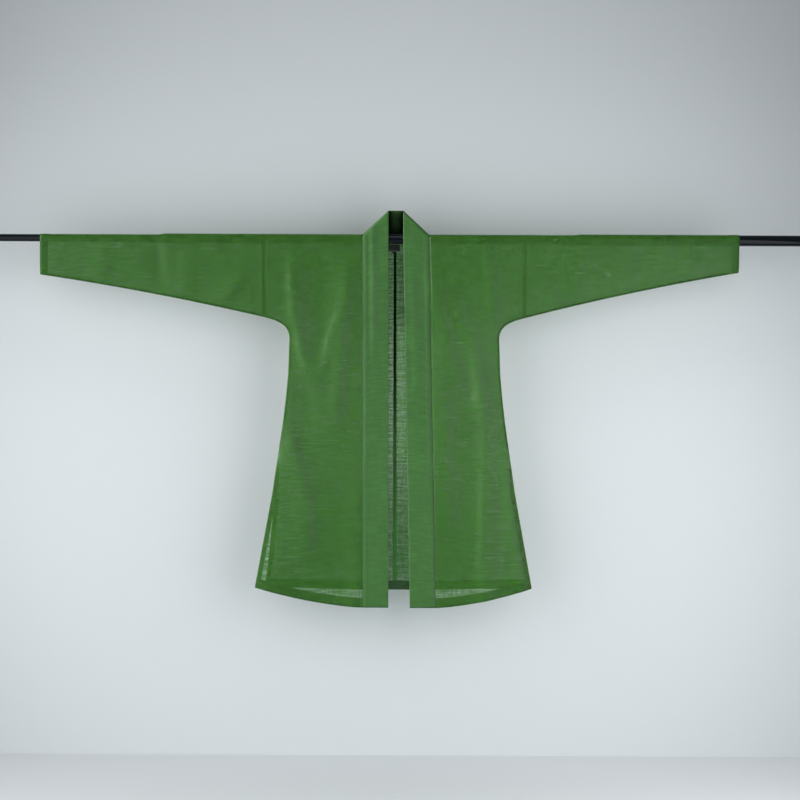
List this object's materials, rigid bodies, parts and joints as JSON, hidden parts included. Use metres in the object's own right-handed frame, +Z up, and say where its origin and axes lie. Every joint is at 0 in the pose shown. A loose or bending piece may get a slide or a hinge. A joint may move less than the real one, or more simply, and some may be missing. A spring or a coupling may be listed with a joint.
{
  "type": "straight-collar hanfu jacket hanging on a rod",
  "caption": "Thin open-front hanfu jacket with a straight collar band, narrow sleeves and side slits, threaded through both sleeves on a telescopic hanging rod.",
  "frame": {"origin": "on the rod's axis, at the middle of the jacket's neck", "axes": "+X along the rod to the viewer's right, -Y out of the jacket's front, +Z up"},
  "size_m": [2.182, 0.0338, 1.0247],
  "materials": {
    "cloth": "thin, half-sheer plain weave with fine slubs, soft dull sheen",
    "cloth_doubled": "the same cloth in two layers, closer and darker",
    "label": "plain woven tab, matt",
    "rod": "gloss black lacquer",
    "rod_cap": "moulded, satin"
  },
  "bodies": {
    "root": {"body_left": "cloth", "body_right": "cloth", "sleeve_left": "cloth", "sleeve_right": "cloth", "collar_band": "cloth_doubled", "front_hem_facing_left": "cloth_doubled", "front_hem_facing_right": "cloth_doubled", "back_hem_facing": "cloth_doubled", "slit_facing_front_left": "cloth_doubled", "slit_facing_front_right": "cloth_doubled", "slit_facing_back_left": "cloth_doubled", "slit_facing_back_right": "cloth_doubled", "cuff_facing_left": "cloth_doubled", "cuff_facing_right": "cloth_doubled", "centre_back_seam": "cloth_doubled", "neck_label": "label", "rod_left": "rod", "rod_middle": "rod", "rod_right": "rod", "rod_cap_left": "rod_cap", "rod_cap_right": "rod_cap"}
  },
  "joints": []
}
